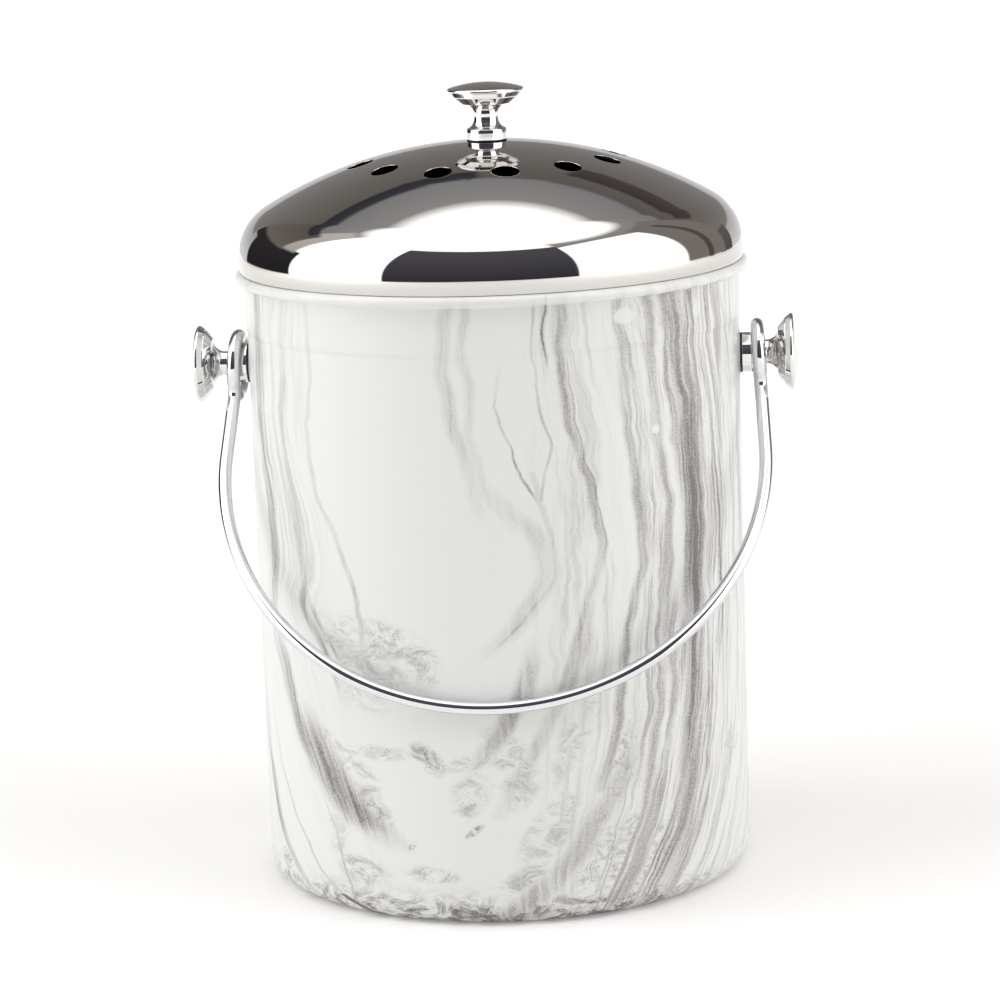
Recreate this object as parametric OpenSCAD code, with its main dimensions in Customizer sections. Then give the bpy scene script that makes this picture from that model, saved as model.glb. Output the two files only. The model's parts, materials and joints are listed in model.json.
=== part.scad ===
// Kitchen compost caddy: a deep-drawn coated steel pail, a polished lift-off
// dome lid with vent holes over a charcoal filter, and a wire bail that swings
// on two side knobs. Millimetres. The origin is the centre of the base, +Z is
// up, -Y is the front and the side knobs are on the X axis.

/* [Pail] */
// Outer diameter of the pail wall
pail_d = 174; // [160:1:190]
// Height from the base to the top of the rolled rim
pail_h = 218; // [195:1:250]
// Thickness of the pail's sheet
pail_wall = 0.8; // [0.6:0.1:1.2]
// Outer radius of the corner between wall and base
base_corner_r = 7.8; // [4:0.2:14]
// Outer diameter of the rolled rim
curl_d = 4; // [3.2:0.1:5]
// Height of the stepped-out band under the rim
band_h = 21; // [18:1:28]
// How far the band stands out from the wall
band_step = 0.4; // [0.2:0.1:0.8]

/* [Side seats] */
// Height of the bail's pivot below the top of the rim
pivot_drop = 34.35; // [32:0.5:45]
// Diameter of the flat pressed seat under each side knob
seat_d = 16.2; // [15:0.2:22]
// How far the seat is pressed out past the wall
seat_out = 0.3; // [0.2:0.1:1]
// Clearance of a screw in the sheet's hole, on the radius
hole_clear = 0.2; // [0.1:0.05:0.4]

/* [Lid] */
// How far the lid's widest place reaches out past the middle of the rolled rim
lid_reach = 0.7; // [0.4:0.1:1.5]
// Thickness of the lid's sheet
lid_wall = 0.7; // [0.5:0.1:1]
// Height of the lid's widest place above its edge, which is tucked in under it
lid_tuck_h = 4.4; // [3:0.1:8]
// Radius of the rounded shoulder, from the tucked-in edge to the dome
shoulder_r = 20.05; // [10:0.05:30]
// Radius of the dome over the top
dome_r = 158.6; // [140:1:260]
// Gap between the lid's edge and the rim that it rests on
lid_seat_gap = 0.1; // [0.05:0.05:0.3]

/* [Vent holes] */
// Number of vent holes
vent_count = 12; // [6:1:16]
// Diameter of each vent hole
vent_d = 9.7; // [5:0.1:14]
// Radius of the ring of vent holes
vent_ring_r = 45; // [35:1:60]
// Turn of the ring of vent holes
vent_phase = 12.4; // [0:0.1:30]

/* [Locating ring] */
// Thickness of the ring's sheet
skirt_wall = 0.6; // [0.5:0.1:1]
// Radial clearance of the ring inside the pail's mouth
skirt_clear = 0.5; // [0.3:0.1:0.8]
// Depth of the ring below the top of the rim
skirt_depth = 14; // [11:0.5:18]
// Height of the ring's welded flange above the lid's edge
skirt_rise = 2.4; // [2:0.1:3]
// Bend radius of the flange and of the ledge, outside
skirt_bend = 2; // [1.2:0.1:3]
// Width of the ledge turned in at the ring's foot
ledge_w = 5; // [3.5:0.1:8]

/* [Filter] */
// Height of the filter holder
holder_h = 12; // [9:0.5:13]
// Thickness of the holder's wall
holder_wall = 1.4; // [1:0.1:2]
// Thickness of the holder's grille and lip
grille_t = 1.6; // [1:0.1:2.5]
// Radial clearance of the holder inside the ring's ledge
holder_clear = 0.3; // [0.2:0.1:0.6]
// How far the holder's lip reaches under the ledge
lip_w = 2; // [1:0.1:3]
// Width of the grille's rings and ribs
rib_w = 2.4; // [1.5:0.1:4]
// Number of ribs in the grille
rib_count = 8; // [4:1:16]
// Number of open rings of slots in the grille
grille_rings = 4; // [2:1:6]
// Thickness of the charcoal filter
filter_t = 8; // [4:0.5:9]
// Radial clearance of the filter inside the holder
filter_clear = 0.8; // [0.3:0.1:2]

/* [Knobs] */
// Length of a knob from its base to its crown
knob_l = 20.1; // [18:0.1:26]
// Diameter of the knob's head
knob_head_d = 27.2; // [22:0.2:34]
// Height of the head, from the flare's edge to the crown
knob_head_h = 7.5; // [7:0.1:9]
// Diameter of the boss at the knob's base
knob_boss_d = 14.2; // [12:0.2:15]
// Height of the boss
knob_boss_h = 4.1; // [3.5:0.1:5]
// Rounding of the boss's outer end
knob_boss_round = 0.9; // [0.4:0.1:1.4]
// Diameter of the knob's waist
knob_waist_d = 8.6; // [7.6:0.1:9.4]
// Length of the straight part of the waist
knob_waist_l = 0.9; // [0.4:0.1:1.6]
// Diameter of the flare where it meets the head
knob_flare_d = 16.8; // [14:0.2:17.4]
// Rounding of the head's rim
knob_rim_r = 0.9; // [0.5:0.1:1.2]
// Thickness of the black washer under a side knob
gasket_t = 0.7; // [0.4:0.1:1.2]
// Thickness of the black washer under the lid's knob
lid_gasket_t = 0.3; // [0.2:0.1:1]
// How far a black washer stays inside the boss's edge
gasket_inset = 0.1; // [0:0.1:0.5]

/* [Fasteners] */
// Diameter of the screws' shanks
screw_d = 4; // [3:0.5:5]
// Diameter of the screws' heads
screw_head_d = 8; // [6:0.5:9]
// Height of the screws' heads
screw_head_h = 2.4; // [1.8:0.1:3]
// Length of screw inside a knob
screw_grip = 9; // [6:0.5:11]
// Clearance of a screw in its knob, on the radius
thread_clear = 0.05; // [0.02:0.01:0.1]
// Room left beyond the screw's tip
tip_room = 1; // [0.5:0.1:1.5]
// Diameter of the steel washers
washer_d = 10; // [9:0.5:12]
// Thickness of the steel washers
washer_t = 0.8; // [0.5:0.1:1.2]

/* [Bail] */
// Diameter of the bail's wire
wire_d = 4.7; // [4:0.1:5.4]
// Distance from the pivot down to the middle of the bail's wire
bail_drop = 138.5; // [130:0.5:150]
// How far the bow bulges out past the eyes
bow_bulge = 2.2; // [1.6:0.1:3]
// Distance from the pail's wall out to the eye, at the pivot
eye_standoff = 5.7; // [5.4:0.1:6.2]
// Inner diameter of each eye
eye_bore_d = 16.4; // [15.6:0.1:18]
// Bend radius where the wire enters the eye
eye_bend_r = 5; // [4:0.1:6]
// Opening left between the cut end of the wire and the leg
eye_end_turn = 25; // [22:1:40]
// How far the loose bail has slid sideways on its knobs
bail_slide = 1; // [-1:0.1:1]
// Running gap between an eye and the boss that it hangs on
eye_gap = 0.1; // [0.05:0.05:0.3]
// Gap between the resting bail and the wall
rest_gap = 0.15; // [0.05:0.05:0.4]

/* [Hidden] */
$fn = 96;
past = 1;
knob_steps = 10;
shoulder_steps = 17;
dome_steps = 28;

// Points along an arc, without its first point
function arc(centre, r, from, to, steps) = [
    for (i = [1 : steps]) let (a = from + (to - from) * i / steps)
        centre + r * [cos(a), sin(a)]
];

// Pail
pail_r = pail_d / 2;
curl_r = curl_d / 2;
band_r = pail_r + band_step;
band_z = pail_h - band_h;
band_ramp = 3 * band_step;
rim_in_r = band_r - pail_wall;
curl_x = rim_in_r + curl_r;
curl_z = pail_h - curl_r;
curl_slit = 0.35 * (curl_r - pail_wall);

// Side seats and pivot
pivot_z = pail_h - pivot_drop;
seat_x = pail_r + seat_out;
hole_r = screw_d / 2 + hole_clear;

// Lid
lid_r = curl_x + lid_reach;
lid_z = pail_h + lid_seat_gap;
shoulder_x = lid_r - shoulder_r;
shoulder_z = lid_z + lid_tuck_h;
lid_foot_r = shoulder_x + sqrt(shoulder_r ^ 2 - lid_tuck_h ^ 2);
dome_edge = acos(shoulder_x / (dome_r - shoulder_r));
dome_z = shoulder_z - (dome_r - shoulder_r) * sin(dome_edge);
apex_z = dome_z + dome_r;
vent_tilt = asin(vent_ring_r / dome_r);

// Locating ring
skirt_r = rim_in_r - skirt_clear;
skirt_in_r = skirt_r - skirt_wall;
skirt_z = pail_h - skirt_depth;
ledge_r = skirt_in_r - ledge_w;
flange_z = lid_z + skirt_rise;
weld_gap = 0.03;
flange_drop = shoulder_z - flange_z + skirt_wall;
flange_r = shoulder_x + sqrt((shoulder_r - lid_wall) ^ 2 - flange_drop ^ 2) - weld_gap;

// Filter
holder_r = ledge_r - holder_clear;
holder_in_r = holder_r - holder_wall;
lip_gap = 0.1;
holder_z = skirt_z - lip_gap - grille_t;
lip_r = ledge_r + lip_w;
filter_r = holder_in_r - filter_clear;
filter_gap = 0.1;

// Knobs
boss_r = knob_boss_d / 2;
waist_r = knob_waist_d / 2;
head_r = knob_head_d / 2;
flare_r = knob_flare_d / 2;
head_z = knob_l - knob_head_h;
upper_r = flare_r - waist_r;
waist_top = head_z - upper_r;
waist_low = waist_top - knob_waist_l;
shoulder_step = boss_r - knob_boss_round - waist_r;
lower_rise = waist_low - knob_boss_h;
lower_r = (shoulder_step ^ 2 + lower_rise ^ 2) / (2 * shoulder_step);
lower_angle = 180 + atan2(lower_rise, lower_r - shoulder_step);
rim_x = head_r - knob_rim_r;
rim_z = knob_l - 0.375 * knob_head_h;
crown_rise = knob_l - rim_z;
crown_r = (rim_x ^ 2 + crown_rise ^ 2 - knob_rim_r ^ 2)
    / (2 * (crown_rise - knob_rim_r));
crown_angle = atan2(rim_z - knob_l + crown_r, rim_x);
rim_start = -35;
flare_edge = 0.5;
step_in = 0.75;
step_drop = 2.3;
groove_h = 0.3;
groove_w = 0.35;
gasket_r = boss_r - gasket_inset;

// Fasteners
screw_r = screw_d / 2;
slot_w = 0.11 * screw_head_d;
slot_l = 0.6 * screw_head_d;
slot_deep = screw_head_h / 2;
knob_bore_r = screw_r + thread_clear;
washer_r = washer_d / 2;
side_inner_x = seat_x - pail_wall;
side_stack = pail_wall + gasket_t + washer_t;
lid_washer_z = dome_z + sqrt((dome_r - lid_wall) ^ 2 - washer_r ^ 2);
lid_knob_z = apex_z + lid_gasket_t;
lid_stack = lid_knob_z - lid_washer_z + washer_t;

// Bail
wire_r = wire_d / 2;
joint_swell = 0.02;
bail_lean = asin((pail_r + wire_r + rest_gap) / bail_drop);
eye_x = pail_r + eye_standoff;
bow_r = eye_x + bow_bulge;
bow_y = bail_drop - bow_r;
eye_to_bow = sqrt(eye_x ^ 2 + bow_y ^ 2);
leg_tilt = atan2(bow_y, eye_x) - acos(bow_r / eye_to_bow);
leg_reach = sqrt(eye_to_bow ^ 2 - bow_r ^ 2);
eye_r = eye_bore_d / 2 + wire_r;
eye_hang = eye_r * cos(leg_tilt) - wire_r - boss_r - eye_gap;
eye_turn = asin(eye_bend_r / (eye_r + eye_bend_r));
leg_top = eye_hang + (eye_r + eye_bend_r) * cos(eye_turn);

// ---- Shared shapes ----

// Half section of a drawn cup: flat floor, rounded corner, upright wall
module cup_section(r, h, corner) {
    difference() {
        square([r, h]);
        translate([r - corner, 0]) difference() {
            square(corner);
            translate([0, corner]) circle(r = corner);
        }
    }
}

// Section of a bend in sheet of thickness t, between two angles
module bend_section(r_out, t, from, to) {
    intersection() {
        difference() {
            circle(r = r_out);
            circle(r = r_out - t);
        }
        polygon([
            [0, 0],
            for (a = [from, (from + to) / 2, to]) 2 * r_out * [cos(a), sin(a)]
        ]);
    }
}

// Half section of a turned knob: boss, waist, flare, stepped head and crown
module knob_section() {
    step_x = rim_x - step_in;
    step_z = rim_z - step_drop;
    polygon(concat(
        [[0, 0], [boss_r, 0], [boss_r, knob_boss_h - knob_boss_round]],
        arc([boss_r - knob_boss_round, knob_boss_h - knob_boss_round], knob_boss_round, 0, 90, 5),
        arc([waist_r + lower_r, waist_low], lower_r, lower_angle, 180, knob_steps),
        [[waist_r, waist_top]],
        arc([flare_r, waist_top], upper_r, 180, 90, knob_steps),
        [[flare_r + flare_edge, head_z], [step_x, step_z]],
        [[step_x, step_z + groove_h], [step_x + groove_w, step_z + groove_h]],
        [[rim_x + knob_rim_r * cos(rim_start), rim_z + knob_rim_r * sin(rim_start)]],
        arc([rim_x, rim_z], knob_rim_r, rim_start, crown_angle, knob_steps),
        arc([0, knob_l - crown_r], crown_r, crown_angle, 90, knob_steps)
    ));
}

// A knob standing on z = 0, with the blind hole for its screw
module knob() {
    color("gainsboro") difference() {
        rotate_extrude() knob_section();
        translate([0, 0, -past]) cylinder(r = knob_bore_r, h = screw_grip + tip_room + past);
    }
}

// A flat ring, such as a washer
module ring(r_out, r_in, t) {
    linear_extrude(height = t) difference() {
        circle(r = r_out);
        circle(r = r_in);
    }
}

// A pan-head screw: the underside of its head is at z = 0 and its shank rises
module screw(shank) {
    color("silver") difference() {
        union() {
            translate([0, 0, -screw_head_h]) cylinder(r = screw_head_d / 2, h = screw_head_h);
            cylinder(r = screw_r, h = shank);
        }
        for (turn = [0, 90])
            rotate([0, 0, turn])
                translate([-slot_l / 2, -slot_w / 2, -screw_head_h - past])
                    cube([slot_l, slot_w, slot_deep + past]);
    }
}

// Places its children on a side seat: +1 is the right side, -1 the left.
// Local z runs outwards from x = 0 through the seat.
module at_side(side) {
    translate([0, 0, pivot_z]) rotate([0, 90 * side, 0]) children();
}

// ---- Pail ----

module pail_section() {
    difference() {
        cup_section(pail_r, band_z, base_corner_r);
        translate([0, pail_wall])
            cup_section(pail_r - pail_wall, band_z, base_corner_r - pail_wall);
    }
    polygon([
        [pail_r - pail_wall, band_z], [pail_r, band_z],
        [band_r, band_z + band_ramp], [band_r, curl_z],
        [rim_in_r, curl_z], [rim_in_r, band_z + band_ramp]
    ]);
    translate([curl_x, curl_z]) difference() {
        circle(r = curl_r);
        circle(r = curl_r - pail_wall);
        translate([-curl_r - past, -curl_r - past])
            square([curl_r + past - curl_slit, curl_r + past]);
    }
}

module pail_body() {
    seat_depth = pail_r - sqrt(pail_r ^ 2 - (seat_d / 2) ^ 2) + seat_out + pail_wall / 2;
    color("whitesmoke") difference() {
        union() {
            rotate_extrude() pail_section();
            for (side = [-1, 1])
                at_side(side) translate([0, 0, seat_x - seat_depth])
                    cylinder(d = seat_d, h = seat_depth);
        }
        for (side = [-1, 1]) at_side(side) {
            translate([0, 0, pail_r - seat_d])
                cylinder(r = seat_d / 2 - pail_wall, h = side_inner_x - pail_r + seat_d);
            cylinder(r = hole_r, h = seat_x + past);
        }
    }
}

module side_gasket(side) {
    color("black") at_side(side) translate([0, 0, seat_x]) ring(gasket_r, hole_r, gasket_t);
}

module side_knob(side) {
    at_side(side) translate([0, 0, seat_x + gasket_t]) knob();
}

module side_washer(side) {
    color("silver") at_side(side)
        translate([0, 0, side_inner_x - washer_t]) ring(washer_r, hole_r, washer_t);
}

module side_screw(side) {
    at_side(side) translate([0, 0, side_inner_x - washer_t]) screw(side_stack + screw_grip);
}

// ---- Bail ----

// An arc of wire round the local Z axis
module wire_arc(r, from, turn) {
    rotate([0, 0, from]) rotate_extrude(angle = turn) translate([r, 0]) circle(r = wire_r);
}

// The smooth joint between two lengths of wire
module wire_joint() {
    sphere(r = wire_r + joint_swell);
}

// One leg and its closed eye, hanging down -Y from the pivot at the local origin
module leg_and_eye() {
    translate([0, -leg_top, 0]) rotate([90, 0, 0])
        cylinder(r = wire_r, h = leg_reach - leg_top);
    translate([0, -leg_reach, 0]) wire_joint();
    rotate([0, -90, 0]) {
        translate([0, -leg_top, 0]) wire_joint();
        translate([eye_bend_r, -leg_top, 0]) wire_arc(eye_bend_r, 90 + eye_turn, 90 - eye_turn);
        translate([0, -eye_hang, 0]) {
            rotate([0, 0, eye_turn - 90]) translate([eye_r, 0, 0]) wire_joint();
            wire_arc(eye_r, eye_turn - 90, 360 - eye_turn - eye_end_turn);
        }
    }
}

module bail() {
    color("lightgray") translate([bail_slide, 0, pivot_z]) rotate([90 - bail_lean, 0, 0]) {
        translate([0, -bow_y, 0]) wire_arc(bow_r, 180 - leg_tilt, 180 + 2 * leg_tilt);
        translate([eye_x, 0, 0]) rotate([0, 0, leg_tilt]) leg_and_eye();
        mirror([1, 0, 0]) translate([eye_x, 0, 0]) rotate([0, 0, leg_tilt]) mirror([1, 0, 0]) leg_and_eye();
    }
}

// ---- Lid ----

// Half section of the dome's sheet: tucked-in edge, shoulder and dome
module dome_section() {
    shoulder = [shoulder_x, shoulder_z];
    inner_r = shoulder_r - lid_wall;
    dome = [0, dome_z];
    polygon(concat(
        [[lid_foot_r, lid_z]],
        arc(shoulder, shoulder_r, -asin(lid_tuck_h / shoulder_r), dome_edge, shoulder_steps),
        arc(dome, dome_r, dome_edge, 90, dome_steps),
        [[0, apex_z - lid_wall]],
        arc(dome, dome_r - lid_wall, 90, dome_edge, dome_steps),
        arc(shoulder, inner_r, dome_edge, -asin(lid_tuck_h / inner_r), shoulder_steps)
    ));
}

module lid_dome() {
    color("silver") difference() {
        rotate_extrude() dome_section();
        for (i = [0 : vent_count - 1])
            translate([0, 0, dome_z])
                rotate([0, 0, vent_phase + i * 360 / vent_count - 90])
                    rotate([0, vent_tilt, 0])
                        translate([0, 0, dome_r - 4 * lid_wall])
                            cylinder(d = vent_d, h = 8 * lid_wall);
        translate([0, 0, apex_z - 2 * lid_wall]) cylinder(r = hole_r, h = 4 * lid_wall);
    }
}

// Locating ring: an upright band inside the pail's mouth, turned out at the top
// to a flange that is welded inside the lid's edge, and turned in at its foot to
// a ledge that carries the filter holder
module lid_ring() {
    bend_z = skirt_z + skirt_bend;
    color("silver") rotate_extrude() {
        translate([skirt_in_r, bend_z]) square([skirt_wall, flange_z - skirt_bend - bend_z]);
        translate([skirt_in_r + skirt_bend, flange_z - skirt_bend])
            bend_section(skirt_bend, skirt_wall, 90, 180);
        translate([skirt_in_r + skirt_bend, flange_z - skirt_wall])
            square([flange_r - skirt_in_r - skirt_bend, skirt_wall]);
        translate([skirt_r - skirt_bend, bend_z]) bend_section(skirt_bend, skirt_wall, 270, 360);
        translate([ledge_r, skirt_z]) square([skirt_r - skirt_bend - ledge_r, skirt_wall]);
    }
}

module lid_gasket() {
    color("black") translate([0, 0, apex_z]) ring(gasket_r, hole_r, lid_gasket_t);
}

module lid_knob() {
    translate([0, 0, lid_knob_z]) knob();
}

module lid_washer() {
    color("silver") translate([0, 0, lid_washer_z - washer_t]) ring(washer_r, hole_r, washer_t);
}

module lid_screw() {
    translate([0, 0, lid_washer_z - washer_t]) screw(lid_stack + screw_grip);
}

// ---- Filter ----

// Flat grille: rings and ribs inside the holder's wall
module grille_section() {
    pitch = (holder_in_r - rib_w) / grille_rings;
    for (i = [0 : grille_rings - 1])
        difference() {
            circle(r = rib_w + i * pitch);
            if (i > 0) circle(r = i * pitch);
        }
    difference() {
        for (i = [0 : rib_count - 1])
            rotate([0, 0, i * 360 / rib_count])
                translate([0, -rib_w / 2]) square([(holder_in_r + holder_r) / 2, rib_w]);
        circle(r = rib_w / 2);
    }
}

module filter_holder() {
    color("dimgray") translate([0, 0, holder_z]) {
        linear_extrude(height = grille_t) {
            grille_section();
            difference() {
                circle(r = lip_r);
                circle(r = holder_in_r);
            }
        }
        ring(holder_r, holder_in_r, holder_h);
    }
}

module charcoal_filter() {
    color("darkslategray") translate([0, 0, holder_z + grille_t + filter_gap])
        cylinder(r = filter_r, h = filter_t);
}

pail_body();
side_gasket(-1);  // gasket_left
side_gasket(1);  // gasket_right
side_knob(-1);  // knob_left
side_knob(1);  // knob_right
side_washer(-1);  // washer_left
side_washer(1);  // washer_right
side_screw(-1);  // screw_left
side_screw(1);  // screw_right
bail();
lid_dome();
lid_ring();
lid_gasket();
lid_knob();
lid_washer();
lid_screw();
filter_holder();
charcoal_filter();
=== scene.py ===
"""A kitchen compost pail with a marbled wall, a mirror-polished dome lid, turned knobs and a wire bail.

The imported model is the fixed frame. Its pail, dome, knobs and bail are rebuilt here as smooth meshes in the
same places, and its other pieces keep their solids and get their finish. Metres, +Z up, -Y the front.
"""
import json
import math

import bmesh
import bpy
from mathutils import Matrix, Vector


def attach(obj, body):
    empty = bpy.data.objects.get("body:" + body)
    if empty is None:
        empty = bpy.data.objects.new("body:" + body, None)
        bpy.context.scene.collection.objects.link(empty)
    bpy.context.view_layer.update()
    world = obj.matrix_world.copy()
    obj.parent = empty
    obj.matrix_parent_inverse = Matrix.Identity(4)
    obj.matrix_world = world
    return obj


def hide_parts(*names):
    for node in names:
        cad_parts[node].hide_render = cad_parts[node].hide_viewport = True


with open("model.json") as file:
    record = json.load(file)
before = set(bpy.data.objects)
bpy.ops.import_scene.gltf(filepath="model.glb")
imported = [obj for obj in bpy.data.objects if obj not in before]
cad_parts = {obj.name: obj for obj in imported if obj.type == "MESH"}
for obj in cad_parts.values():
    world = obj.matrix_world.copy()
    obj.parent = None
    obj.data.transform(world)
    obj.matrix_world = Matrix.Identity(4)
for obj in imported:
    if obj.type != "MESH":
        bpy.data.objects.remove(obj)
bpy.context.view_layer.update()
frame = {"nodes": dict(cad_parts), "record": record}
MM = 0.001

# ---- Real sizes, in millimetres ----

# The pail: its wall, the base's corner, the stepped-out band, the rolled rim and the side knobs' seats.
PAIL_R = 87.0
PAIL_WALL = 0.8
BASE_ROUND = 7.8
BAND_R = 87.4
BAND_Z = 197.0
CURL_R = 2.0
CURL_X = 88.6
CURL_Z = 216.0
PIVOT_Z = 183.65
SEAT_X = 87.3
SEAT_R = 8.1

# The lid: its widest place, the tucked-in edge below, the shoulder and dome above, and the vent holes.
LID_R = 89.3
LID_Z = 218.1
LID_WALL = 0.7
SHOULDER_R = 20.05
LID_TUCK = 4.4
SHOULDER_X = LID_R - SHOULDER_R
SHOULDER_Z = LID_Z + LID_TUCK
DOME_R = 158.6
DOME_Z = SHOULDER_Z - math.sqrt((DOME_R - SHOULDER_R) ** 2 - SHOULDER_X ** 2)
APEX_Z = DOME_Z + DOME_R
VENTS = 12
VENT_R = 4.85
VENT_RING_R = 45.0
VENT_PHASE = 12.4
VENT_REACH = 9.0
VENT_EASE = 0.15
BORE_R = 2.2

# The knobs: their length, and how far out and how high their bases stand.
KNOB_L = 20.1
KNOB_BASE_SIDE = 88.0
KNOB_BASE_LID = APEX_Z + 0.3

# The bail: its wire, the bow, and the eyes that hang on the side knobs' bosses.
WIRE_R = 2.35
BAIL_DROP = 138.5
BAIL_SLIDE = 1.0
EYE_X = 92.7
EYE_R = 8.2 + WIRE_R
EYE_GAP = 0.1
BOSS_R = 7.1
EYE_BEND_R = 5.0
EYE_END_TURN = 25.0
BOW_R = 94.9
REST_GAP = 0.15


# ---- Mesh code ----

def on_circle(centre, radius, degrees):
    a = math.radians(degrees)
    return (centre[0] + radius * math.cos(a), centre[1] + radius * math.sin(a))


def arc(centre, radius, start, end, steps):
    """Points along an arc, both ends included, as (distance from the axis, height)."""
    return [on_circle(centre, radius, start + (end - start) * i / steps) for i in range(steps + 1)]


def eased(outline, steps=5):
    """An outline of (r, z, rounding) corners, with each rounded corner turned into a small arc."""
    points = []
    for i, corner in enumerate(outline):
        rounding = corner[2] if len(corner) > 2 else 0
        here = Vector(corner[:2])
        if not rounding:
            points.append(tuple(here))
            continue
        to_last = (Vector(outline[i - 1][:2]) - here).normalized()
        to_next = (Vector(outline[i + 1][:2]) - here).normalized()
        half = to_last.angle(to_next) / 2
        centre = here + (to_last + to_next).normalized() * rounding / math.sin(half)
        first = here + to_last * rounding / math.tan(half) - centre
        last = here + to_next * rounding / math.tan(half) - centre
        for k in range(steps + 1):
            spoke = first.lerp(last, k / steps).normalized() * rounding
            points.append(tuple(centre + spoke))
    return points


def skin(bm, rows, closed=True):
    """Quads between rows of points, each row as long as the next one."""
    made = [[bm.verts.new(p) for p in row] for row in rows]
    for low, high in zip(made, made[1:]):
        count = len(low)
        for i in range(count if closed else count - 1):
            k = (i + 1) % count
            bm.faces.new((low[i], low[k], high[k], high[i]))


def ring_rows(outline, angles):
    """Each (r, z) point of an outline turned round the Z axis, in metres; angles run from -Y towards +X."""
    return [[(r * MM * math.sin(a), -r * MM * math.cos(a), z * MM) for a in angles] for r, z in outline]


def even_turn(count, start=0.0):
    return [math.radians(start) + 2 * math.pi * i / count for i in range(count)]


def piece(name, bm, material, body, replaced):
    """Finishes a mesh as one named piece that rides on its body and stands for its CAD node."""
    bmesh.ops.remove_doubles(bm, verts=bm.verts, dist=0.004 * MM)
    bmesh.ops.recalc_face_normals(bm, faces=bm.faces)
    mesh = bpy.data.meshes.new(name)
    bm.to_mesh(mesh)
    bm.free()
    for face in mesh.polygons:
        face.use_smooth = True
    mesh.materials.append(material)
    thing = bpy.data.objects.new(name, mesh)
    bpy.context.scene.collection.objects.link(thing)
    even = thing.modifiers.new("even_shading", "WEIGHTED_NORMAL")
    even.keep_sharp = True
    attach(thing, body)
    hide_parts(replaced)
    return thing


# ---- Pieces ----

def pail_turn():
    """Angles round the pail, closer together across the two side seats."""
    degrees = [2 * i for i in range(180) if abs(abs(2 * i - 180) - 90) > 8]
    for seat in (90, 270):
        degrees += [seat - 8 + 0.4 * i for i in range(41)]
    return [math.radians(d) for d in sorted(degrees)]


def wall_heights(low, high, step=0.6, reach=10.2):
    """Heights up a wall, close together across the seats and far apart elsewhere."""
    across = [PIVOT_Z - reach + step * i for i in range(int(2 * reach / step) + 1)]
    plain = [low + 12 * i for i in range(int((high - low) / 12) + 1)] + [high]
    return sorted([z for z in plain if abs(z - PIVOT_Z) > reach + 2] + across)


def press_seats(bm):
    """Presses the two flat seats for the side knobs out of the round wall."""
    for vert in bm.verts:
        off_axis = math.hypot(vert.co.y, vert.co.z - PIVOT_Z * MM) / MM
        outer = math.hypot(vert.co.x, vert.co.y) > (PAIL_R - PAIL_WALL / 2) * MM
        flat = (SEAT_X if outer else SEAT_X - PAIL_WALL) * MM
        share = min(max((SEAT_R + 0.7 - off_axis) / 1.4, 0), 1)
        share = share * share * (3 - 2 * share)
        vert.co.x += share * (math.copysign(flat, vert.co.x) - vert.co.x)


def pail(material):
    inner = PAIL_R - PAIL_WALL
    outline = eased([(0, 0), (PAIL_R, 0, BASE_ROUND), (PAIL_R, BASE_ROUND + 4)], 12)[:-1]
    outline += [(PAIL_R, z) for z in wall_heights(BASE_ROUND + 2, BAND_Z - 1.5)]
    outline += [(PAIL_R + (BAND_R - PAIL_R) * (1 - math.cos(math.pi * i / 8)) / 2, BAND_Z - 0.6 + 2.2 * i / 8)
                for i in range(9)]
    outline += [(BAND_R, BAND_Z + 6), (BAND_R, 213.9)]
    outline += arc((CURL_X, CURL_Z), CURL_R, -122, 180, 36)
    outline += [(BAND_R - PAIL_WALL, BAND_Z + 6), (BAND_R - PAIL_WALL, BAND_Z + 2), (inner, BAND_Z - 1)]
    outline += [(inner, z) for z in reversed(wall_heights(BASE_ROUND + 2, BAND_Z - 4))]
    inner_corner = (inner, PAIL_WALL, BASE_ROUND - PAIL_WALL)
    outline += eased([(inner, BASE_ROUND + 4), inner_corner, (0, PAIL_WALL)], 10)[1:]
    bm = bmesh.new()
    skin(bm, ring_rows(outline, pail_turn()))
    press_seats(bm)
    return piece("marbled_pail", bm, material, "pail", "pail_body")


def dome_point(radius, x, y):
    """The point of a sphere round the dome's centre that lies over (x, y), all in millimetres."""
    return Vector((x, y, DOME_Z + math.sqrt(radius * radius - x * x - y * y))) * MM


def vent_patch(bm, radius, azimuth, edge_r, per_side=12, layers=6):
    """One sector of a dome surface, with a vent hole in its middle. Returns the hole's edge and axis."""
    low, high, half = VENT_RING_R - VENT_REACH, VENT_RING_R + VENT_REACH, 180 / VENTS
    tilt = math.asin(VENT_RING_R / DOME_R)
    turn = Matrix.Rotation(math.radians(azimuth), 3, "Z")
    down = turn @ Vector((math.cos(tilt), 0, -math.sin(tilt)))
    along = turn @ Vector((0, 1, 0))
    out = down.cross(along)
    centre = Vector((0, 0, DOME_Z)) * MM
    corners = [(low, -half), (high, -half), (high, half), (low, half)]
    border = []
    for (r0, a0), (r1, a1) in zip(corners, corners[1:] + corners[:1]):
        for i in range(per_side):
            r, a = r0 + (r1 - r0) * i / per_side, math.radians(azimuth + a0 + (a1 - a0) * i / per_side)
            border.append(dome_point(radius, r * math.cos(a), r * math.sin(a)))
    rows = []
    for layer in range(layers):
        share = (layer / layers) ** 1.6
        row = []
        for point in border:
            flat = Vector(((point - centre).dot(down), (point - centre).dot(along)))
            spot = (flat.normalized() * edge_r * MM).lerp(flat, share)
            lift = math.sqrt((radius * MM) ** 2 - spot.length_squared)
            row.append(centre + down * spot.x + along * spot.y + out * lift)
        rows.append(row)
    rows.append(border)
    skin(bm, rows)
    return rows[0], out


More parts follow.
